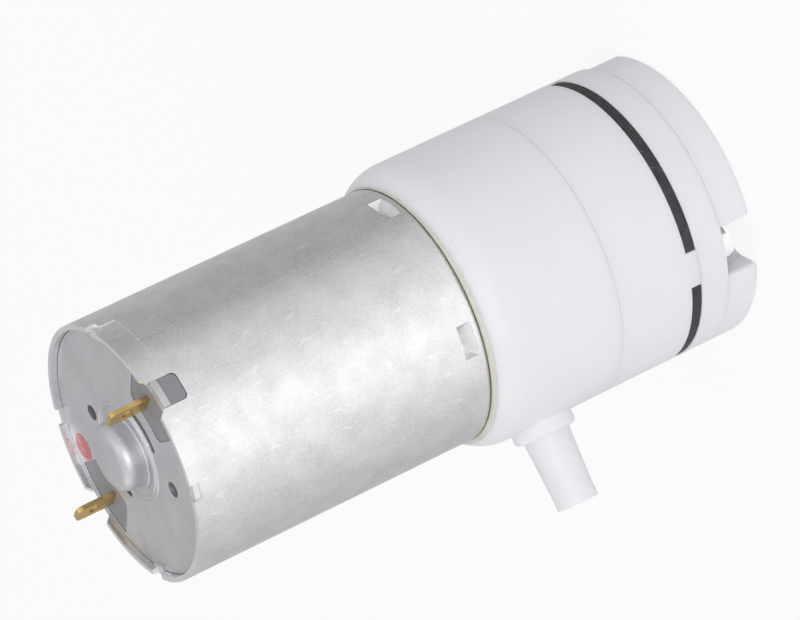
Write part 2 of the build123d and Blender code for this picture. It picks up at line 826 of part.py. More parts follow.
def motor_screws():
    screw = pan_screw(
        motor_screw_radius, motor_screw_length, motor_screw_head_radius, motor_screw_head_height, web_low
    )
    return Compound(spread(cross_angles, Pos(motor_screw_circle, 0, 0) * screw))


# Rotor

def motor_shaft():
    shaft = disc(shaft_radius, shaft_tip, shaft_tail)
    ends = shaft.edges().group_by(Axis.Z)
    return chamfer([ends[0][0], ends[-1][0]], end_bevel)


def front_bush_low():
    return can_low - boss_height + boss_lip + push_gap


def rear_bush_low():
    return shaft_tail - bush_length


def thrust_washers():
    """One washer against each bearing."""
    front = front_bush_low() + bush_length + running_gap
    rear = rear_bush_low() - running_gap - washer_thickness
    bore = shaft_radius + push_gap
    return Compound([
        ring(washer_radius, bore, front, front + washer_thickness),
        ring(washer_radius, bore, rear, rear + washer_thickness),
    ])


def shaft_spacer():
    """A sleeve that keeps the armature off the front bearing."""
    low = front_bush_low() + bush_length + running_gap + washer_thickness
    return ring(washer_radius - push_gap, shaft_radius + push_gap, low, core_low)


def armature_core():
    """The three-pole stack of laminations."""
    body = disc(core_hub_radius, core_low, core_high)
    tooth = slab(0, pole_radius - pole_shoe / 2, tooth_width, core_low, core_high)
    shoe = sector(pole_radius - pole_shoe, pole_radius, pole_angle, core_low, core_high)
    body += spread(pole_angles, tooth)
    body += spread(pole_angles, shoe)
    return body - disc(shaft_radius + push_gap, core_low - cut_over, core_high + cut_over)


def armature_coils():
    """A winding round each tooth, proud of the stack at both ends."""
    half = tooth_width / 2 + coil_depth
    start = core_hub_radius + loose_gap
    end = sqrt((pole_radius - pole_shoe) ** 2 - half ** 2) - loose_gap
    low, high = core_low - coil_overhang, core_high + coil_overhang
    coil = slab(start, end, 2 * half, low, high)
    coil = fillet(coil.edges().filter_by(Axis.X), coil_round)
    coil -= slab(0, pole_radius, tooth_width + 2 * push_gap, core_low - push_gap, core_high + push_gap)
    return Compound(spread(pole_angles, coil))


def commutator_hub():
    """The plastic core of the commutator with a collar beside the windings."""
    inner = commutator_radius - commutator_wall
    body = disc(inner, core_high, commutator_high)
    body += disc(commutator_radius, commutator_low - commutator_collar, commutator_low)
    return body - disc(shaft_radius + push_gap, core_high - cut_over, commutator_high + cut_over)


def commutator_segments():
    inner = commutator_radius - commutator_wall + push_gap
    shell = ring(commutator_radius, inner, commutator_low, commutator_high)
    cut = slab(0, pole_radius, commutator_slot, commutator_low - cut_over, commutator_high + cut_over)
    slots = spread([psi + 180 / pole_count for psi in pole_angles], cut)
    return Compound((shell - slots).solids())


nodes = {
    "cover": cover(),
    "cover_screws": cover_screws(),
    "valve_plate": valve_plate(),
    "outlet_valve": outlet_valve(),
    "inlet_valves": inlet_valves(),
    "diaphragm": diaphragm(),
    "diaphragm_seat": diaphragm_seat(),
    "crankcase": crankcase(),
    "swing_bracket": swing_bracket(),
    "bracket_pin": bracket_pin(),
    "crank": crank(),
    "motor_screws": motor_screws(),
    "motor_gasket": motor_gasket(),
    "motor_can": motor_can(),
    "front_bearing": bush(front_bush_low()),
    "magnet_a": magnet(cross_angles[0]),
    "magnet_b": magnet(cross_angles[1]),
    "motor_end_plate": motor_end_plate(),
    "rear_bearing": bush(rear_bush_low()),
    "brush_holder": brush_holder(),
    "terminal_negative": terminal(blade_angles[0]),
    "terminal_positive": terminal(blade_angles[1]),
    "brush_arms": brush_arms(),
    "carbon_brushes": carbon_brushes(),
    "motor_shaft": motor_shaft(),
    "thrust_washers": thrust_washers(),
    "shaft_spacer": shaft_spacer(),
    "armature_core": armature_core(),
    "armature_coils": armature_coils(),
    "commutator_hub": commutator_hub(),
    "commutator_segments": commutator_segments(),
}

for name, shape in nodes.items():
    export_step(shape, f"parts/{name}.step")
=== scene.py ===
import json
import math

import bmesh
import bpy
from mathutils import Matrix, Vector


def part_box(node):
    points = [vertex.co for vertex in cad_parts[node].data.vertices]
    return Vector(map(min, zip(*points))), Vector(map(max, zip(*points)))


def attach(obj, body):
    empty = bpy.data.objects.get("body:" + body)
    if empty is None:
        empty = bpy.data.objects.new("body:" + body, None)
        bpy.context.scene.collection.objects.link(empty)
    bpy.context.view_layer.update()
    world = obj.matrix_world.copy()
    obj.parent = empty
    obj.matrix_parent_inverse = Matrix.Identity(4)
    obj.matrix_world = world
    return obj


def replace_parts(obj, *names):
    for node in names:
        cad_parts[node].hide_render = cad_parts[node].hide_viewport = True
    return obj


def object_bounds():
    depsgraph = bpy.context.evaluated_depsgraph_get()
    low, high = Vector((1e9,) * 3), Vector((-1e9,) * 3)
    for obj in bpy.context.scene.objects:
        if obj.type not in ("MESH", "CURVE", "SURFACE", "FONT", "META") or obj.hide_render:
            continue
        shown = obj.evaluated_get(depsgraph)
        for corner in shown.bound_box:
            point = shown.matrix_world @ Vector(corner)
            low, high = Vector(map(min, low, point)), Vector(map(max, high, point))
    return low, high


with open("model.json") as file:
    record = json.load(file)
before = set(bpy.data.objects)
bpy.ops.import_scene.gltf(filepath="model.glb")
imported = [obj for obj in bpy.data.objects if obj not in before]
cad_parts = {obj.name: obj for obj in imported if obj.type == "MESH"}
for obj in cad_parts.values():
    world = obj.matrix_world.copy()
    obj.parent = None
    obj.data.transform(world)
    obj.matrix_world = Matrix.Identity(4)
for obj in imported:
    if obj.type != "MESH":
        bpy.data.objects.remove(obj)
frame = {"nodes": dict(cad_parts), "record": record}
cadLow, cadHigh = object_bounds()  # the model's box before anything is added
mm = 0.001
print("frame loaded:", len(frame["nodes"]), "nodes")


# small helpers for shader trees

# sockets of the Mix node, which has a set for each kind of data
mixAmount = 0
mixNumbers, mixNumber = (2, 3), 0
mixColours, mixColour = (6, 7), 2


def wire(tree, source, target):
    tree.links.new(source, target)


def feed(tree, socket, value):
    # an input is linked to an output or set to a constant
    if isinstance(value, bpy.types.NodeSocket):
        wire(tree, value, socket)
    else:
        socket.default_value = value


def place(tree, kind, props=None, **values):
    # a node with its properties and its unlinked inputs set; spaces in input names are underscores here
    node = tree.nodes.new(kind)
    for key, value in (props or {}).items():
        setattr(node, key, value)
    for key, value in values.items():
        node.inputs[key.replace("_", " ")].default_value = value
    return node


def calc(tree, operation, *values):
    # a Math node whose inputs are numbers or other nodes' outputs
    node = place(tree, "ShaderNodeMath", {"operation": operation})
    for slot, value in enumerate(values):
        feed(tree, node.inputs[slot], value)
    return node.outputs[0]


def calcVector(tree, operation, first, second):
    node = place(tree, "ShaderNodeVectorMath", {"operation": operation})
    feed(tree, node.inputs[0], first)
    feed(tree, node.inputs[1], second)
    return node


def opaque(colour):
    return (*colour, 1.0)


def blendColour(tree, amount, first, second, way="MIX"):
    # Mix Color: each of the three may be a constant or an output
    node = place(tree, "ShaderNodeMix", {"data_type": "RGBA", "blend_type": way})
    feed(tree, node.inputs[mixAmount], amount)
    for slot, value in zip(mixColours, (first, second)):
        linked = isinstance(value, bpy.types.NodeSocket)
        feed(tree, node.inputs[slot], value if linked else opaque(value))
    return node.outputs[mixColour]


def blendNumber(tree, amount, first, second):
    node = place(tree, "ShaderNodeMix", {"data_type": "FLOAT"})
    for slot, value in zip((mixAmount, *mixNumbers), (amount, first, second)):
        feed(tree, node.inputs[slot], value)
    return node.outputs[mixNumber]


def span(tree, value, low, high, newLow, newHigh, smooth=False):
    # a value's range stretched to another range
    kind = "SMOOTHSTEP" if smooth else "LINEAR"
    node = place(tree, "ShaderNodeMapRange", {"interpolation_type": kind})
    feed(tree, node.inputs["Value"], value)
    feed(tree, node.inputs["From Min"], low)
    feed(tree, node.inputs["From Max"], high)
    feed(tree, node.inputs["To Min"], newLow)
    feed(tree, node.inputs["To Max"], newHigh)
    return node.outputs["Result"]


def objectSpace(tree):
    return place(tree, "ShaderNodeTexCoord").outputs["Object"]


def startGroup(name, inputs, outputs):
    tree = bpy.data.node_groups.new(name, "ShaderNodeTree")
    for label, kind, value in inputs:
        socket = tree.interface.new_socket(name=label, in_out="INPUT", socket_type="NodeSocket" + kind)
        socket.default_value = value
    for label, kind in outputs:
        tree.interface.new_socket(name=label, in_out="OUTPUT", socket_type="NodeSocket" + kind)
    return tree, tree.nodes.new("NodeGroupInput"), tree.nodes.new("NodeGroupOutput")


def useGroup(tree, group, **values):
    return place(tree, "ShaderNodeGroup", {"node_tree": group}, **values)


# shared surface effects

grainRange = (0.3, 0.7)  # where nearly all of the grain's values lie
speckCore = 0.5          # share of a speck's size that is solid
scratchEdge = 0.05       # how far above its cut the noise gives a full scratch
blotchRange = (0.35, 0.65)


def drawOut(tree, vector, along):
    # coordinates scaled along the pump's axis, which draws a pattern out
    stretch = place(tree, "ShaderNodeCombineXYZ", X=1.0, Y=1.0)
    wire(tree, along, stretch.inputs["Z"])
    return calcVector(tree, "MULTIPLY", vector, stretch.outputs[0]).outputs[0]


def addNoise(tree, vector, scale, **values):
    noise = place(tree, "ShaderNodeTexNoise", **values)
    wire(tree, vector, noise.inputs["Vector"])
    wire(tree, scale, noise.inputs["Scale"])
    return noise


def makeGrain():
    # noise that can be drawn out along the pump's axis
    tree, given, result = startGroup(
        "grain",
        [("Scale", "Float", 4000.0), ("Along", "Float", 1.0), ("Detail", "Float", 3.0), ("Shift", "Float", 0.0)],
        [("Value", "Float")],
    )
    drawn = drawOut(tree, objectSpace(tree), given.outputs["Along"])
    moved = calcVector(tree, "ADD", drawn, given.outputs["Shift"]).outputs[0]
    noise = addNoise(tree, moved, given.outputs["Scale"], Roughness=0.6)
    wire(tree, given.outputs["Detail"], noise.inputs["Detail"])
    wire(tree, noise.outputs[0], result.inputs["Value"])
    return tree


def makeSpecks():
    # small separate spots, in a share of the cells of a Voronoi pattern
    tree, given, result = startGroup(
        "specks",
        [("Scale", "Float", 1200.0), ("Size", "Float", 0.2), ("Share", "Float", 0.3), ("Shift", "Float", 0.0)],
        [("Mask", "Float")],
    )
    moved = calcVector(tree, "ADD", objectSpace(tree), given.outputs["Shift"]).outputs[0]
    cells = place(tree, "ShaderNodeTexVoronoi")
    wire(tree, moved, cells.inputs["Vector"])
    wire(tree, given.outputs["Scale"], cells.inputs["Scale"])
    size = given.outputs["Size"]
    core = calc(tree, "MULTIPLY", size, speckCore)
    near = span(tree, cells.outputs["Distance"], core, size, 1.0, 0.0, smooth=True)
    parts = place(tree, "ShaderNodeSeparateColor")
    wire(tree, cells.outputs["Color"], parts.inputs[0])
    chosen = calc(tree, "LESS_THAN", parts.outputs[0], given.outputs["Share"])
    wire(tree, calc(tree, "MULTIPLY", near, chosen), result.inputs["Mask"])
    return tree


def makeScratches():
    # short fine marks where a leaning, drawn-out noise peaks
    tree, given, result = startGroup(
        "scratches",
        [("Scale", "Float", 1500.0), ("Along", "Float", 0.06), ("Cut", "Float", 0.72), ("Lean", "Float", 0.25)],
        [("Mask", "Float")],
    )
    turn = place(tree, "ShaderNodeVectorRotate", {"rotation_type": "X_AXIS"})
    wire(tree, objectSpace(tree), turn.inputs["Vector"])
    wire(tree, given.outputs["Lean"], turn.inputs["Angle"])
    drawn = drawOut(tree, turn.outputs[0], given.outputs["Along"])
    noise = addNoise(tree, drawn, given.outputs["Scale"], Detail=1.0, Roughness=0.4)
    cut = given.outputs["Cut"]
    full = calc(tree, "ADD", cut, scratchEdge)
    wire(tree, span(tree, noise.outputs[0], cut, full, 0.0, 1.0, smooth=True), result.inputs["Mask"])
    return tree


def makeBlotches():
    # slow change between two colours
    tree, given, result = startGroup(
        "blotches",
        [("Base", "Color", (0.8, 0.8, 0.8, 1.0)), ("Tint", "Color", (0.6, 0.6, 0.6, 1.0)),
         ("Scale", "Float", 200.0), ("Amount", "Float", 0.5)],
        [("Color", "Color"), ("Value", "Float")],
    )
    noise = addNoise(tree, objectSpace(tree), given.outputs["Scale"], Detail=4.0, Roughness=0.55)
    even = span(tree, noise.outputs[0], *blotchRange, 0.0, 1.0)
    amount = calc(tree, "MULTIPLY", even, given.outputs["Amount"])
    colour = blendColour(tree, amount, given.outputs["Base"], given.outputs["Tint"])
    wire(tree, colour, result.inputs["Color"])
    wire(tree, even, result.inputs["Value"])
    return tree


grain, specks, scratches, blotches = makeGrain(), makeSpecks(), makeScratches(), makeBlotches()
print("surface effects built")


# what all materials share

def startMaterial(name, **values):
    material = bpy.data.materials.new(name)
    material.use_nodes = True
    tree = material.node_tree
    tree.nodes.clear()
    output = tree.nodes.new("ShaderNodeOutputMaterial")
    shader = place(tree, "ShaderNodeBsdfPrincipled", **values)
    wire(tree, shader.outputs[0], output.inputs["Surface"])
    return material, tree, shader


def mottle(tree, v, pattern):
    # the slow change between a material's colour and its tint
    return useGroup(tree, blotches, Base=opaque(v["colour"]), Tint=opaque(v["tint"]), **pattern)


def addBump(tree, height, distance, strength=1.0, under=None):
    bump = place(tree, "ShaderNodeBump", Strength=strength, Distance=distance)
    wire(tree, height, bump.inputs["Height"])
    if under is not None:
        wire(tree, under, bump.inputs["Normal"])
    return bump.outputs[0]


# white moulded plastic of the head

whitePlastic = {
    "shader": {
        "Subsurface_Weight": 0.3, "Subsurface_Scale": 0.0012, "Subsurface_Radius": (1.0, 1.0, 1.1),
        "Specular_IOR_Level": 0.45,
    },
    "colour": (0.850, 0.848, 0.885),
    "tint": (0.825, 0.823, 0.865),
    "mottle": {"Scale": 140.0, "Amount": 0.9},
    "dustColour": (0.60, 0.60, 0.62),
    "dust": {"Scale": 420.0, "Size": 0.085, "Share": 0.16, "Shift": 3.1},
    "dustStrength": 0.22,
    "fine": {"Scale": 2600.0, "Detail": 3.0},
    "fineHeight": 0.004 * mm,
    "roughness": (0.36, 0.46),
    "soft": {"Scale": 260.0, "Detail": 2.0, "Shift": 1.7},
    "softHeight": 0.02 * mm,
    "softStrength": 0.5,
}


def makeWhitePlastic():
    v = whitePlastic
    material, tree, shader = startMaterial("whitePlastic", **v["shader"])
    slow = mottle(tree, v, v["mottle"]).outputs["Color"]
    dust = useGroup(tree, specks, **v["dust"]).outputs[0]
    colour = blendColour(tree, calc(tree, "MULTIPLY", dust, v["dustStrength"]), slow, v["dustColour"])
    wire(tree, colour, shader.inputs["Base Color"])
    fine = useGroup(tree, grain, **v["fine"]).outputs[0]
    wire(tree, span(tree, fine, *grainRange, *v["roughness"]), shader.inputs["Roughness"])
    soft = useGroup(tree, grain, **v["soft"]).outputs[0]
    slowNormal = addBump(tree, soft, v["softHeight"], v["softStrength"])
    wire(tree, addBump(tree, fine, v["fineHeight"], under=slowNormal), shader.inputs["Normal"])
    return material


# black rubber of the clamped sheet

blackRubber = {
    "shader": {"Roughness": 0.62, "Specular_IOR_Level": 0.35},
    "colour": (0.030, 0.030, 0.034),
    "tint": (0.052, 0.052, 0.058),
    "mottle": {"Scale": 900.0, "Amount": 1.0},
    "lintColour": (0.30, 0.30, 0.31),
    "lint": {"Scale": 2300.0, "Size": 0.16, "Share": 0.22},
    "lintStrength": 0.55,
    "fine": {"Scale": 5200.0, "Detail": 2.0},
    "fineHeight": 0.02 * mm,
    "roughness": (0.52, 0.72),
}


def makeBlackRubber():
    v = blackRubber
    material, tree, shader = startMaterial("blackRubber", **v["shader"])
    slow = mottle(tree, v, v["mottle"]).outputs["Color"]
    lint = useGroup(tree, specks, **v["lint"]).outputs[0]
    colour = blendColour(tree, calc(tree, "MULTIPLY", lint, v["lintStrength"]), slow, v["lintColour"])
    wire(tree, colour, shader.inputs["Base Color"])
    fine = useGroup(tree, grain, **v["fine"]).outputs[0]
    wire(tree, span(tree, fine, *grainRange, *v["roughness"]), shader.inputs["Roughness"])
    wire(tree, addBump(tree, fine, v["fineHeight"]), shader.inputs["Normal"])
    return material


# zinc-plated steel of the motor's can: frosted spangle, drawn lines and handling marks

zincSteel = {
    "colour": (0.80, 0.80, 0.815),
    "tint": (0.70, 0.70, 0.715),
    "mottle": {"Scale": 420.0, "Amount": 0.8},
    "frost": {"Scale": 5200.0, "Detail": 3.0},
    "frostHeight": 0.010 * mm,
    "fleckRange": (0.36, 0.64),
    "fleckLevels": (0.40, 0.60),  # laid over the colour, where 0.5 changes nothing
    "drawn": {"Scale": 2600.0, "Along": 0.05, "Detail": 3.0, "Shift": 0.6},
    "drawnHeight": 0.006 * mm,
    "wave": {"Scale": 190.0, "Along": 0.45, "Detail": 2.0, "Shift": 2.3},
    "waveHeight": 0.05 * mm,
    "marks": {"Scale": 1500.0, "Along": 0.10, "Cut": 0.70, "Lean": 0.35},
    "markColour": (0.93, 0.93, 0.94),
    "markStrength": 0.5,
    "roughness": (0.24, 0.40),
    "tintRoughness": 0.05,        # added where the tint is full
}


def makeZincSteel():
    v = zincSteel
    material, tree, shader = startMaterial("zincSteel", Metallic=1.0)
    slow = mottle(tree, v, v["mottle"])
    frost = useGroup(tree, grain, **v["frost"]).outputs[0]
    drawn = useGroup(tree, grain, **v["drawn"]).outputs[0]
    wave = useGroup(tree, grain, **v["wave"]).outputs[0]
    marks = useGroup(tree, scratches, **v["marks"]).outputs[0]
    flecks = span(tree, frost, *v["fleckRange"], *v["fleckLevels"])
    flecked = blendColour(tree, 1.0, slow.outputs["Color"], flecks, "OVERLAY")
    colour = blendColour(tree, calc(tree, "MULTIPLY", marks, v["markStrength"]), flecked, v["markColour"])
    wire(tree, colour, shader.inputs["Base Color"])
    rough = span(tree, frost, *grainRange, *v["roughness"])
    rough = calc(tree, "MULTIPLY_ADD", slow.outputs["Value"], v["tintRoughness"], rough)
    wire(tree, rough, shader.inputs["Roughness"])
    waveNormal = addBump(tree, wave, v["waveHeight"])
    drawnNormal = addBump(tree, drawn, v["drawnHeight"], under=waveNormal)
    wire(tree, addBump(tree, frost, v["frostHeight"], under=drawnNormal), shader.inputs["Normal"])
    return material


# satin plated steel of the end plate, with fine bright specks

plateSteel = {
    "colour": (0.60, 0.60, 0.625),
    "tint": (0.53, 0.53, 0.555),
    "mottle": {"Scale": 260.0, "Amount": 0.8},
    "brightColour": (0.96, 0.96, 0.98),
    "bright": {"Scale": 1500.0, "Size": 0.13, "Share": 0.30},
    "brightRoughness": -0.2,  # added on a speck
    "brightRise": 1.5,        # a speck's height in heights of the fine grain
    "fine": {"Scale": 6000.0, "Detail": 2.0},
    "fineHeight": 0.008 * mm,
    "roughness": (0.40, 0.52),
}


def makePlateSteel():
    v = plateSteel
    material, tree, shader = startMaterial("plateSteel", Metallic=0.85)
    slow = mottle(tree, v, v["mottle"]).outputs["Color"]
    bright = useGroup(tree, specks, **v["bright"]).outputs[0]
    fine = useGroup(tree, grain, **v["fine"]).outputs[0]
    wire(tree, blendColour(tree, bright, slow, v["brightColour"]), shader.inputs["Base Color"])
    satin = span(tree, fine, *grainRange, *v["roughness"])
    rough = calc(tree, "MULTIPLY_ADD", bright, v["brightRoughness"], satin)
    wire(tree, rough, shader.inputs["Roughness"])
    raised = calc(tree, "MULTIPLY_ADD", bright, v["brightRise"], fine)
    wire(tree, addBump(tree, raised, v["fineHeight"]), shader.inputs["Normal"])
    return material


# other metals

metalMottle = {"Scale": 600.0, "Amount": 0.7}
metals = {
    "screwSteel": {
        "colour": (0.78, 0.78, 0.79), "tint": (0.66, 0.66, 0.68), "roughness": (0.16, 0.28),
        "fine": {"Scale": 3000.0}, "fineHeight": 0.004 * mm,
    },
    "shaftSteel": {
        "colour": (0.70, 0.70, 0.72), "tint": (0.60, 0.60, 0.62), "roughness": (0.14, 0.24),
        "fine": {"Scale": 2600.0, "Along": 8.0}, "fineHeight": 0.002 * mm,
    },
    "terminalBrass": {
        "colour": (0.70, 0.50, 0.20), "tint": (0.50, 0.34, 0.12), "roughness": (0.26, 0.42),
        "fine": {"Scale": 2400.0, "Along": 0.3}, "fineHeight": 0.006 * mm,
    },
    "sinteredBronze": {
        "colour": (0.50, 0.35, 0.19), "tint": (0.34, 0.23, 0.12), "roughness": (0.45, 0.65),
        "fine": {"Scale": 5200.0}, "fineHeight": 0.020 * mm,
    },
    "copperWire": {
        "colour": (0.62, 0.27, 0.12), "tint": (0.45, 0.17, 0.07), "roughness": (0.22, 0.36),
        "fine": {"Scale": 1800.0}, "fineHeight": 0.003 * mm,
    },
    "copperBar": {
        "colour": (0.72, 0.38, 0.24), "tint": (0.50, 0.24, 0.14), "roughness": (0.22, 0.34),
        "fine": {"Scale": 2800.0, "Along": 6.0}, "fineHeight": 0.004 * mm,
    },
}

# plain moulded, pressed and sintered stuffs

dullMottle = {"Scale": 520.0, "Amount": 0.8}
dulls = {
    "greyPlastic": {
        "colour": (0.265, 0.262, 0.280), "tint": (0.235, 0.232, 0.250), "roughness": (0.40, 0.52),
        "fine": {"Scale": 3200.0}, "fineHeight": 0.006 * mm,
    },
    "blackPlastic": {
        "colour": (0.045, 0.045, 0.050), "tint": (0.065, 0.065, 0.070), "roughness": (0.38, 0.50),
        "fine": {"Scale": 3000.0}, "fineHeight": 0.006 * mm,
    },
    "clearRubber": {
        "colour": (0.74, 0.72, 0.66), "tint": (0.66, 0.64, 0.58), "roughness": (0.34, 0.46),
        "fine": {"Scale": 2600.0}, "fineHeight": 0.004 * mm,
    },
    "creamGasket": {
        "colour": (0.76, 0.74, 0.66), "tint": (0.66, 0.63, 0.54), "roughness": (0.70, 0.85),
        "fine": {"Scale": 3600.0}, "fineHeight": 0.030 * mm,
    },
    "ferrite": {
        "colour": (0.075, 0.075, 0.080), "tint": (0.11, 0.11, 0.115), "roughness": (0.55, 0.75),
        "fine": {"Scale": 2600.0}, "fineHeight": 0.020 * mm,
    },
    "carbon": {
        "colour": (0.035, 0.035, 0.038), "tint": (0.06, 0.06, 0.062), "roughness": (0.40, 0.60),
        "fine": {"Scale": 4200.0}, "fineHeight": 0.012 * mm,
    },
}


def makePlain(name, v, pattern, metallic):
    material, tree, shader = startMaterial(name, Metallic=metallic)
    wire(tree, mottle(tree, v, pattern).outputs["Color"], shader.inputs["Base Color"])
    fine = useGroup(tree, grain, **v["fine"]).outputs[0]
    wire(tree, span(tree, fine, *grainRange, *v["roughness"]), shader.inputs["Roughness"])
    wire(tree, addBump(tree, fine, v["fineHeight"]), shader.inputs["Normal"])
    return material


def makeMetal(name):
    return makePlain(name, metals[name], metalMottle, 1.0)


def makeDull(name):
    return makePlain(name, dulls[name], dullMottle, 0.0)


# laminated core: thin sheets stacked along the axis

laminations = {
    "shader": {"Metallic": 0.9, "Roughness": 0.45},
    "colour": (0.34, 0.35, 0.37),
    "tint": (0.22, 0.22, 0.24),
    "mottle": {"Scale": 500.0, "Amount": 0.8},
    "bands": {"Scale": 450.0, "Distortion": 0.4, "Detail": 1.0},
    "bandHeight": 0.02 * mm,
    "seamColour": (0.07, 0.07, 0.08),
    "seamReach": 0.35,
    "seamStrength": 0.75,
}


def makeLaminations():
    v = laminations
    material, tree, shader = startMaterial("laminations", **v["shader"])
    bands = place(tree, "ShaderNodeTexWave", {"bands_direction": "Z"}, **v["bands"])
    wire(tree, objectSpace(tree), bands.inputs["Vector"])
    slow = mottle(tree, v, v["mottle"]).outputs["Color"]
    seam = span(tree, bands.outputs["Fac"], 0.0, v["seamReach"], v["seamStrength"], 0.0)
    wire(tree, blendColour(tree, seam, slow, v["seamColour"]), shader.inputs["Base Color"])
    wire(tree, addBump(tree, bands.outputs["Fac"], v["bandHeight"]), shader.inputs["Normal"])
    return material


finishes = {
    "white_plastic": makeWhitePlastic(),
    "black_rubber": makeBlackRubber(),
    "clear_rubber": makeDull("clearRubber"),
    "zinc_steel": makeZincSteel(),
    "plate_steel": makePlateSteel(),
    "screw_steel": makeMetal("screwSteel"),
    "grey_plastic": makeDull("greyPlastic"),
    "terminal_brass": makeMetal("terminalBrass"),
    "cream_gasket": makeDull("creamGasket"),
    "ferrite": makeDull("ferrite"),
    "sintered_bronze": makeMetal("sinteredBronze"),
    "carbon": makeDull("carbon"),
    "lamination_steel": makeLaminations(),
    "copper": makeMetal("copperBar"),
    "black_plastic": makeDull("blackPlastic"),
    "shaft_steel": makeMetal("shaftSteel"),
}

for part in frame["record"]["subparts"]:
    node = frame["nodes"][part["node"]]
    for slot in node.material_slots:
        slot.link = "OBJECT"
        slot.material = finishes[part["material_slot"]]


# polarity dot: a drop of red paint that fills one staked dimple; lengths in millimetres

paintDot = {
    "angle": 259.3,
    "circle": 9.9,
    "plate": 58.05,      # level of the end plate's outer face
    "dimpleRadius": 1.35,
    "dimpleDepth": 0.14,
    "radius": 1.32,
    "uneven": ((3, 0.025, 0.6), (5, 0.018, 2.1)),  # waves of the outline: count, height and phase
    "thick": 0.10,
    "edge": 0.012,
    "under": 0.01,       # how far the paint's underside lies in the steel
    "rings": 10,
    "steps": 40,
    "shader": {"Coat_Weight": 0.4, "Coat_Roughness": 0.12},
    "colour": (0.42, 0.008, 0.010),
    "thin": (0.55, 0.11, 0.13),
    "thinning": (1.12, 1.46),
    "wobble": {"Scale": 1100.0, "Detail": 2.0},
    "wobbleReach": 0.35,
    "wobbleHeight": 0.03,
    "roughness": (0.22, 0.40),
}


def makePaint():
    v = paintDot
    material, tree, shader = startMaterial("redPaint", **v["shader"])
    turn = math.radians(v["angle"])
    centre = (v["circle"] * math.cos(turn) * mm, v["circle"] * math.sin(turn) * mm, v["plate"] * mm)
    away = calcVector(tree, "DISTANCE", objectSpace(tree), centre).outputs["Value"]
    wobble = useGroup(tree, grain, **v["wobble"]).outputs[0]
    reach = calc(tree, "MULTIPLY_ADD", wobble, v["wobbleReach"] * mm, away)
    thinFrom, thinTo = v["thinning"]
    mask = span(tree, reach, thinFrom * mm, thinTo * mm, 0.0, 1.0, smooth=True)
    wire(tree, blendColour(tree, mask, v["colour"], v["thin"]), shader.inputs["Base Color"])
    wire(tree, span(tree, wobble, *grainRange, *v["roughness"]), shader.inputs["Roughness"])
    wire(tree, addBump(tree, wobble, v["wobbleHeight"] * mm), shader.inputs["Normal"])
    return material


def dimpleLevel(reach):
    # level of the staked dimple's round floor at a distance from its centre
    v = paintDot
    ball = (v["dimpleRadius"] ** 2 + v["dimpleDepth"] ** 2) / (2 * v["dimpleDepth"])
    return v["plate"] + ball - v["dimpleDepth"] - math.sqrt(ball ** 2 - reach ** 2)


def addPaintSide(mesh, upper):
    # one side of the drop: its middle, then rings of points out to the edge
    v = paintDot
    rows = []
    for ring in range(v["rings"] + 1):
        swell = v["edge"] + (v["thick"] - v["edge"]) * (1 - (ring / v["rings"]) ** 2)
        row = []
        for step in range(v["steps"] if ring else 1):
            a = 2 * math.pi * step / v["steps"]
            outline = v["radius"] * (1 + sum(h * math.sin(n * a + phase) for n, h, phase in v["uneven"]))
            reach = min(outline * ring / v["rings"], v["dimpleRadius"])
            level = dimpleLevel(reach) + (swell if upper else -v["under"])
            row.append(mesh.verts.new((v["circle"] + reach * math.cos(a), reach * math.sin(a), level)))
        rows.append(row)
    return rows


def buildPaintDot():
    v = paintDot
    rings, steps = v["rings"], v["steps"]
    mesh = bmesh.new()
    top, bottom = addPaintSide(mesh, True), addPaintSide(mesh, False)
    for rows, order in ((top, 1), (bottom, -1)):
        for step in range(steps):
            after = (step + 1) % steps
            mesh.faces.new([rows[0][0], rows[1][step], rows[1][after]][::order])
            for ring in range(1, rings):
                inner, outer = rows[ring], rows[ring + 1]
                mesh.faces.new([inner[step], outer[step], outer[after], inner[after]][::order])
    for step in range(steps):
        after = (step + 1) % steps
        mesh.faces.new([top[rings][step], bottom[rings][step], bottom[rings][after], top[rings][after]])
    bmesh.ops.recalc_face_normals(mesh, faces=mesh.faces)
    mesh.transform(Matrix.Scale(mm, 4))
    mesh.transform(Matrix.Rotation(math.radians(v["angle"]), 4, "Z"))
    data = bpy.data.meshes.new("paintDot")
    mesh.to_mesh(data)
    mesh.free()
    data.polygons.foreach_set("use_smooth", [True] * len(data.polygons))
    data.materials.append(makePaint())
    dot = bpy.data.objects.new("paintDot", data)
    bpy.context.scene.collection.objects.link(dot)
    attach(dot, "pump_body")


buildPaintDot()
print("paint dot placed")


# armature windings: layers of wire round each tooth; lengths in millimetres

windings = {
    "wire": 0.17,        # radius
    "wireSides": 8,
    "pitch": 0.345,
    "turns": 9,
    "layers": 4,
    "poles": 3,
    "corner": 0.9,       # radius of each loop's corners
    "cornerPoints": 5,
    "innerCircle": 2.7,
    "halfWidth": 3.0,
}
copyLine = {"mode": "OFFSET", "count_mode": "TOTAL"}  # a line of points by count and step


def startSolid(name, inputs):
    tree = bpy.data.node_groups.new(name, "GeometryNodeTree")
    tree.interface.new_socket(name="Geometry", in_out="INPUT", socket_type="NodeSocketGeometry")
    for label, kind in inputs:
        tree.interface.new_socket(name=label, in_out="INPUT", socket_type="NodeSocket" + kind)
    tree.interface.new_socket(name="Geometry", in_out="OUTPUT", socket_type="NodeSocketGeometry")
    return tree, tree.nodes.new("NodeGroupInput"), tree.nodes.new("NodeGroupOutput")


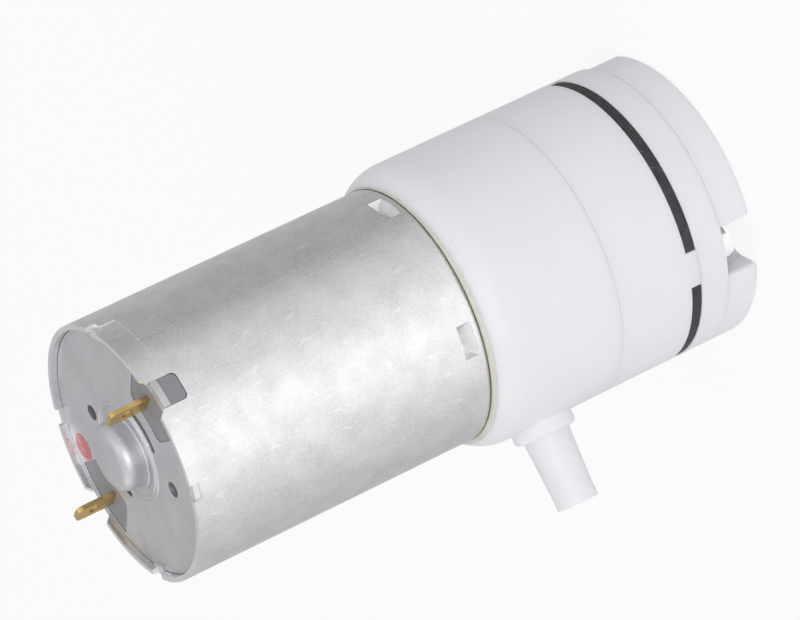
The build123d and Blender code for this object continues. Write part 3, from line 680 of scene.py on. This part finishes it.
def addWireLayer(tree, given, profile, layer):
    # one loop of wire that stands across the tooth, a pitch inside the layer before it
    less = calc(tree, "MULTIPLY", given.outputs["Pitch"], 2.0 * layer)
    loop = place(tree, "GeometryNodeCurvePrimitiveQuadrilateral")
    for side in ("Width", "Height"):
        wire(tree, calc(tree, "SUBTRACT", given.outputs[side], less), loop.inputs[side])
    rounded = place(tree, "GeometryNodeFilletCurve", {"mode": "POLY"},
                    Count=windings["cornerPoints"], Limit_Radius=True)
    wire(tree, loop.outputs[0], rounded.inputs["Curve"])
    wire(tree, given.outputs["Corner"], rounded.inputs["Radius"])
    tube = place(tree, "GeometryNodeCurveToMesh")
    wire(tree, rounded.outputs[0], tube.inputs["Curve"])
    wire(tree, profile.outputs[0], tube.inputs["Profile Curve"])
    upright = place(tree, "GeometryNodeTransform", Rotation=(math.pi / 2, 0, math.pi / 2))
    wire(tree, tube.outputs[0], upright.inputs["Geometry"])
    return upright


def makeWindingTree(material):
    v = windings
    tree, given, result = startSolid("windings", [
        ("Wire Radius", "Float"), ("Pitch", "Float"), ("Turns", "Int"), ("Poles", "Int"),
        ("Corner", "Float"), ("Start", "Float"), ("Width", "Float"), ("Height", "Float"), ("Middle", "Float"),
    ])
    joined = tree.nodes.new("GeometryNodeJoinGeometry")
    profile = place(tree, "GeometryNodeCurvePrimitiveCircle", Resolution=v["wireSides"])
    wire(tree, given.outputs["Wire Radius"], profile.inputs["Radius"])
    row = place(tree, "GeometryNodeMeshLine", copyLine)
    step = place(tree, "ShaderNodeCombineXYZ")
    wire(tree, given.outputs["Pitch"], step.inputs["X"])
    origin = place(tree, "ShaderNodeCombineXYZ")
    wire(tree, given.outputs["Start"], origin.inputs["X"])
    wire(tree, given.outputs["Middle"], origin.inputs["Z"])
    wire(tree, given.outputs["Turns"], row.inputs["Count"])
    wire(tree, origin.outputs[0], row.inputs["Start Location"])
    wire(tree, step.outputs[0], row.inputs["Offset"])
    for layer in range(v["layers"]):
        upright = addWireLayer(tree, given, profile, layer)
        copies = tree.nodes.new("GeometryNodeInstanceOnPoints")
        wire(tree, row.outputs[0], copies.inputs["Points"])
        wire(tree, upright.outputs[0], copies.inputs["Instance"])
        wire(tree, copies.outputs[0], joined.inputs[0])
    poles = place(tree, "GeometryNodeMeshLine", copyLine, Offset=(0, 0, 0))
    wire(tree, given.outputs["Poles"], poles.inputs["Count"])
    share = calc(tree, "DIVIDE", 2 * math.pi, given.outputs["Poles"])
    index = tree.nodes.new("GeometryNodeInputIndex")
    turn = place(tree, "ShaderNodeCombineXYZ")
    wire(tree, calc(tree, "MULTIPLY", index.outputs[0], share), turn.inputs["Z"])
    around = tree.nodes.new("GeometryNodeInstanceOnPoints")
    wire(tree, poles.outputs[0], around.inputs["Points"])
    wire(tree, joined.outputs[0], around.inputs["Instance"])
    wire(tree, turn.outputs[0], around.inputs["Rotation"])
    real = tree.nodes.new("GeometryNodeRealizeInstances")
    wire(tree, around.outputs[0], real.inputs[0])
    smooth = tree.nodes.new("GeometryNodeSetShadeSmooth")
    wire(tree, real.outputs[0], smooth.inputs["Geometry"])
    finish = tree.nodes.new("GeometryNodeSetMaterial")
    finish.inputs["Material"].default_value = material
    wire(tree, smooth.outputs[0], finish.inputs["Geometry"])
    wire(tree, finish.outputs[0], result.inputs[0])
    return tree


def growTree(name, tree, values):
    # runs a geometry tree on an empty mesh and keeps the plain mesh that it makes
    seed = bpy.data.objects.new(name + "Seed", bpy.data.meshes.new(name + "Seed"))
    bpy.context.scene.collection.objects.link(seed)
    modifier = seed.modifiers.new(name, "NODES")
    modifier.node_group = tree
    for item in tree.interface.items_tree:
        if item.item_type == "SOCKET" and item.in_out == "INPUT" and item.name in values:
            modifier[item.identifier] = values[item.name]
    depsgraph = bpy.context.evaluated_depsgraph_get()
    data = bpy.data.meshes.new_from_object(seed.evaluated_get(depsgraph), depsgraph=depsgraph)
    data.name = name
    bpy.data.objects.remove(seed)
    grown = bpy.data.objects.new(name, data)
    bpy.context.scene.collection.objects.link(grown)
    return grown


def buildWindings():
    v = windings
    low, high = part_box("armature_coils")
    coils = growTree("armatureWindings", makeWindingTree(makeMetal("copperWire")), {
        "Wire Radius": v["wire"] * mm,
        "Pitch": v["pitch"] * mm,
        "Turns": v["turns"],
        "Poles": v["poles"],
        "Corner": v["corner"] * mm,
        "Start": (v["innerCircle"] + v["wire"]) * mm,
        "Width": 2 * (v["halfWidth"] - v["wire"]) * mm,
        "Height": high.z - low.z - 2 * v["wire"] * mm,
        "Middle": (high.z + low.z) / 2,
    })
    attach(coils, "rotor")
    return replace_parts(coils, "armature_coils")


coils = buildWindings()
print("windings:", len(coils.data.polygons), "faces")


# camera at the photograph's viewing angle

viewpoint = {
    "place": (-0.0093, 0.4440, 0.2279),
    "right": (0.422573, 0.377082, -0.824160),
    "up": (-0.906165, 0.158540, -0.392083),
    "back": (-0.017186, 0.912510, 0.408694),
    "lens": 246.4,
    "sensor": 36.0,
    "clip": (0.01, 20.0),
}


def buildCamera():
    v = viewpoint
    data = bpy.data.cameras.new("camera")
    data.lens, data.sensor_width = v["lens"], v["sensor"]
    data.clip_start, data.clip_end = v["clip"]
    camera = bpy.data.objects.new("camera", data)
    bpy.context.scene.collection.objects.link(camera)
    turn = Matrix((v["right"], v["up"], v["back"])).transposed().to_4x4()
    camera.matrix_world = Matrix.Translation(v["place"]) @ turn
    bpy.context.scene.camera = camera


buildCamera()


# soft studio light, a white surround and a pale floor, both showing painted reflections to mirror rays

softLamps = [
    {"name": "keyLamp", "azimuth": 72.0, "elevation": 28.0,
     "distance": 0.70, "size": 0.45, "power": 1.55},
    {"name": "sideLamp", "azimuth": -25.0, "elevation": 35.0,
     "distance": 0.80, "size": 0.50, "power": 0.55},
    {"name": "topLamp", "azimuth": 150.0, "elevation": 70.0,
     "distance": 0.80, "size": 0.50, "power": 0.50},
]


def buildLamps():
    centre = (cadLow + cadHigh) / 2
    for v in softLamps:
        a, e = math.radians(v["azimuth"]), math.radians(v["elevation"])
        away = Vector((math.cos(a) * math.cos(e), math.sin(a) * math.cos(e), math.sin(e)))
        data = bpy.data.lights.new(v["name"], "AREA")
        data.shape, data.size, data.energy = "SQUARE", v["size"], v["power"]
        lamp = bpy.data.objects.new(v["name"], data)
        bpy.context.scene.collection.objects.link(lamp)
        lamp.location = centre + away * v["distance"]
        lamp.rotation_euler = away.to_track_quat("Z", "Y").to_euler()


# levels of the surround, with a painted reflection that mirror rays alone see
surround = {
    "ambient": 0.62,
    # painted reflection: mirror rays see the surround brighter towards +Y than the even light it gives
    "paintedReflectionFront": 1.0,  # for mirror rays towards +Y
    "paintedReflectionBack": 0.62,  # and towards -Y
    "seen": 1.0,         # for the camera
}


def buildWorld():
    v = surround
    world = bpy.data.worlds.new("surround")
    world.use_nodes = True
    bpy.context.scene.world = world
    tree = world.node_tree
    tree.nodes.clear()
    output = tree.nodes.new("ShaderNodeOutputWorld")
    light = place(tree, "ShaderNodeBackground", Strength=1.0)
    path = tree.nodes.new("ShaderNodeLightPath")
    side = place(tree, "ShaderNodeSeparateXYZ")
    wire(tree, place(tree, "ShaderNodeTexCoord").outputs["Generated"], side.inputs[0])
    # painted reflection: a level for mirror rays from -Y to +Y, apart from the even ambient
    mirror = span(tree, side.outputs["Y"], -1.0, 1.0, v["paintedReflectionBack"], v["paintedReflectionFront"])
    level = blendNumber(tree, path.outputs["Is Glossy Ray"], v["ambient"], mirror)
    seen = blendNumber(tree, path.outputs["Is Camera Ray"], level, v["seen"])
    wire(tree, seen, light.inputs["Color"])
    wire(tree, light.outputs[0], output.inputs["Surface"])


# painted reflection: what the floor glows with for mirror rays only, by direction round the pump, which paints
# the can's highlight band and darker sides: (degrees, level)
floorPaintedReflection = [
    (-180, 0.43), (-171, 0.44), (-151, 0.48), (-131, 0.53), (-111, 0.63), (-91, 0.66), (-71, 0.60),
    (-51, 0.56), (-31, 0.60), (-11, 0.70), (9, 0.83), (29, 0.98), (49, 1.22), (69, 1.40),
    (89, 1.30), (109, 0.98), (129, 0.86), (149, 0.74), (158, 0.58), (168, 0.40), (180, 0.42),
]
floorLook = {
    "half": 3.0,
    "gap": 0.1 * mm,      # below the pump
    "colour": (0.88, 0.88, 0.89),
    "roughness": 0.9,
    "cameraWhite": 0.86,  # share of plain white that the camera sees
    "mirrorShare": 0.9,   # share of the glow that mirror rays see
}


def buildPaintedReflection(tree):
    # painted reflection: emission whose level follows the direction from the pump's axis, as a share of a turn;
    # mirror rays see it as highlight and shade on the metal
    axes = place(tree, "ShaderNodeSeparateXYZ")
    wire(tree, objectSpace(tree), axes.inputs[0])
    bearing = calc(tree, "ARCTAN2", axes.outputs["Y"], axes.outputs["X"])
    share = calc(tree, "MULTIPLY_ADD", bearing, 0.5 / math.pi, 0.5)
    curve = place(tree, "ShaderNodeValToRGB")
    ramp = curve.color_ramp
    while len(ramp.elements) > 1:
        ramp.elements.remove(ramp.elements[-1])
    for i, (degrees, value) in enumerate(floorPaintedReflection):
        spot = (degrees + 180) / 360
        element = ramp.elements[0] if i == 0 else ramp.elements.new(spot)
        element.position = spot
        element.color = opaque((value, value, value))
    wire(tree, share, curve.inputs[0])
    glow = place(tree, "ShaderNodeEmission", Strength=1.0)
    wire(tree, curve.outputs[0], glow.inputs["Color"])
    return glow.outputs[0]


def blendShader(tree, ray, share, first, second):
    # a share of the second shader for one kind of ray
    node = tree.nodes.new("ShaderNodeMixShader")
    wire(tree, calc(tree, "MULTIPLY", ray, share), node.inputs[0])
    wire(tree, first, node.inputs[1])
    wire(tree, second, node.inputs[2])
    return node.outputs[0]


def buildFloor():
    v = floorLook
    half, level = v["half"], cadLow.z - v["gap"]
    corners = [(-half, -half, level), (half, -half, level), (half, half, level), (-half, half, level)]
    data = bpy.data.meshes.new("floor")
    data.from_pydata(corners, [], [(0, 1, 2, 3)])
    floor = bpy.data.objects.new("floor", data)
    bpy.context.scene.collection.objects.link(floor)
    material, tree, shader = startMaterial(
        "paleFloor", Base_Color=opaque(v["colour"]), Roughness=v["roughness"],
    )
    output = next(n for n in tree.nodes if n.type == "OUTPUT_MATERIAL")
    path = tree.nodes.new("ShaderNodeLightPath")
    toMirror, toCamera = path.outputs["Is Glossy Ray"], path.outputs["Is Camera Ray"]
    glow = buildPaintedReflection(tree)
    white = place(tree, "ShaderNodeEmission", Color=(1, 1, 1, 1), Strength=1.0)
    # painted reflection: mirror rays see the direction-varying glow instead of the lit floor
    forMirror = blendShader(tree, toMirror, v["mirrorShare"], shader.outputs[0], glow)
    forCamera = blendShader(tree, toCamera, v["cameraWhite"], forMirror, white.outputs[0])
    wire(tree, forCamera, output.inputs["Surface"])
    data.materials.append(material)


buildLamps()
buildWorld()
buildFloor()
bpy.context.scene.view_settings.view_transform = "Standard"
print("camera, lamps and floor ready")
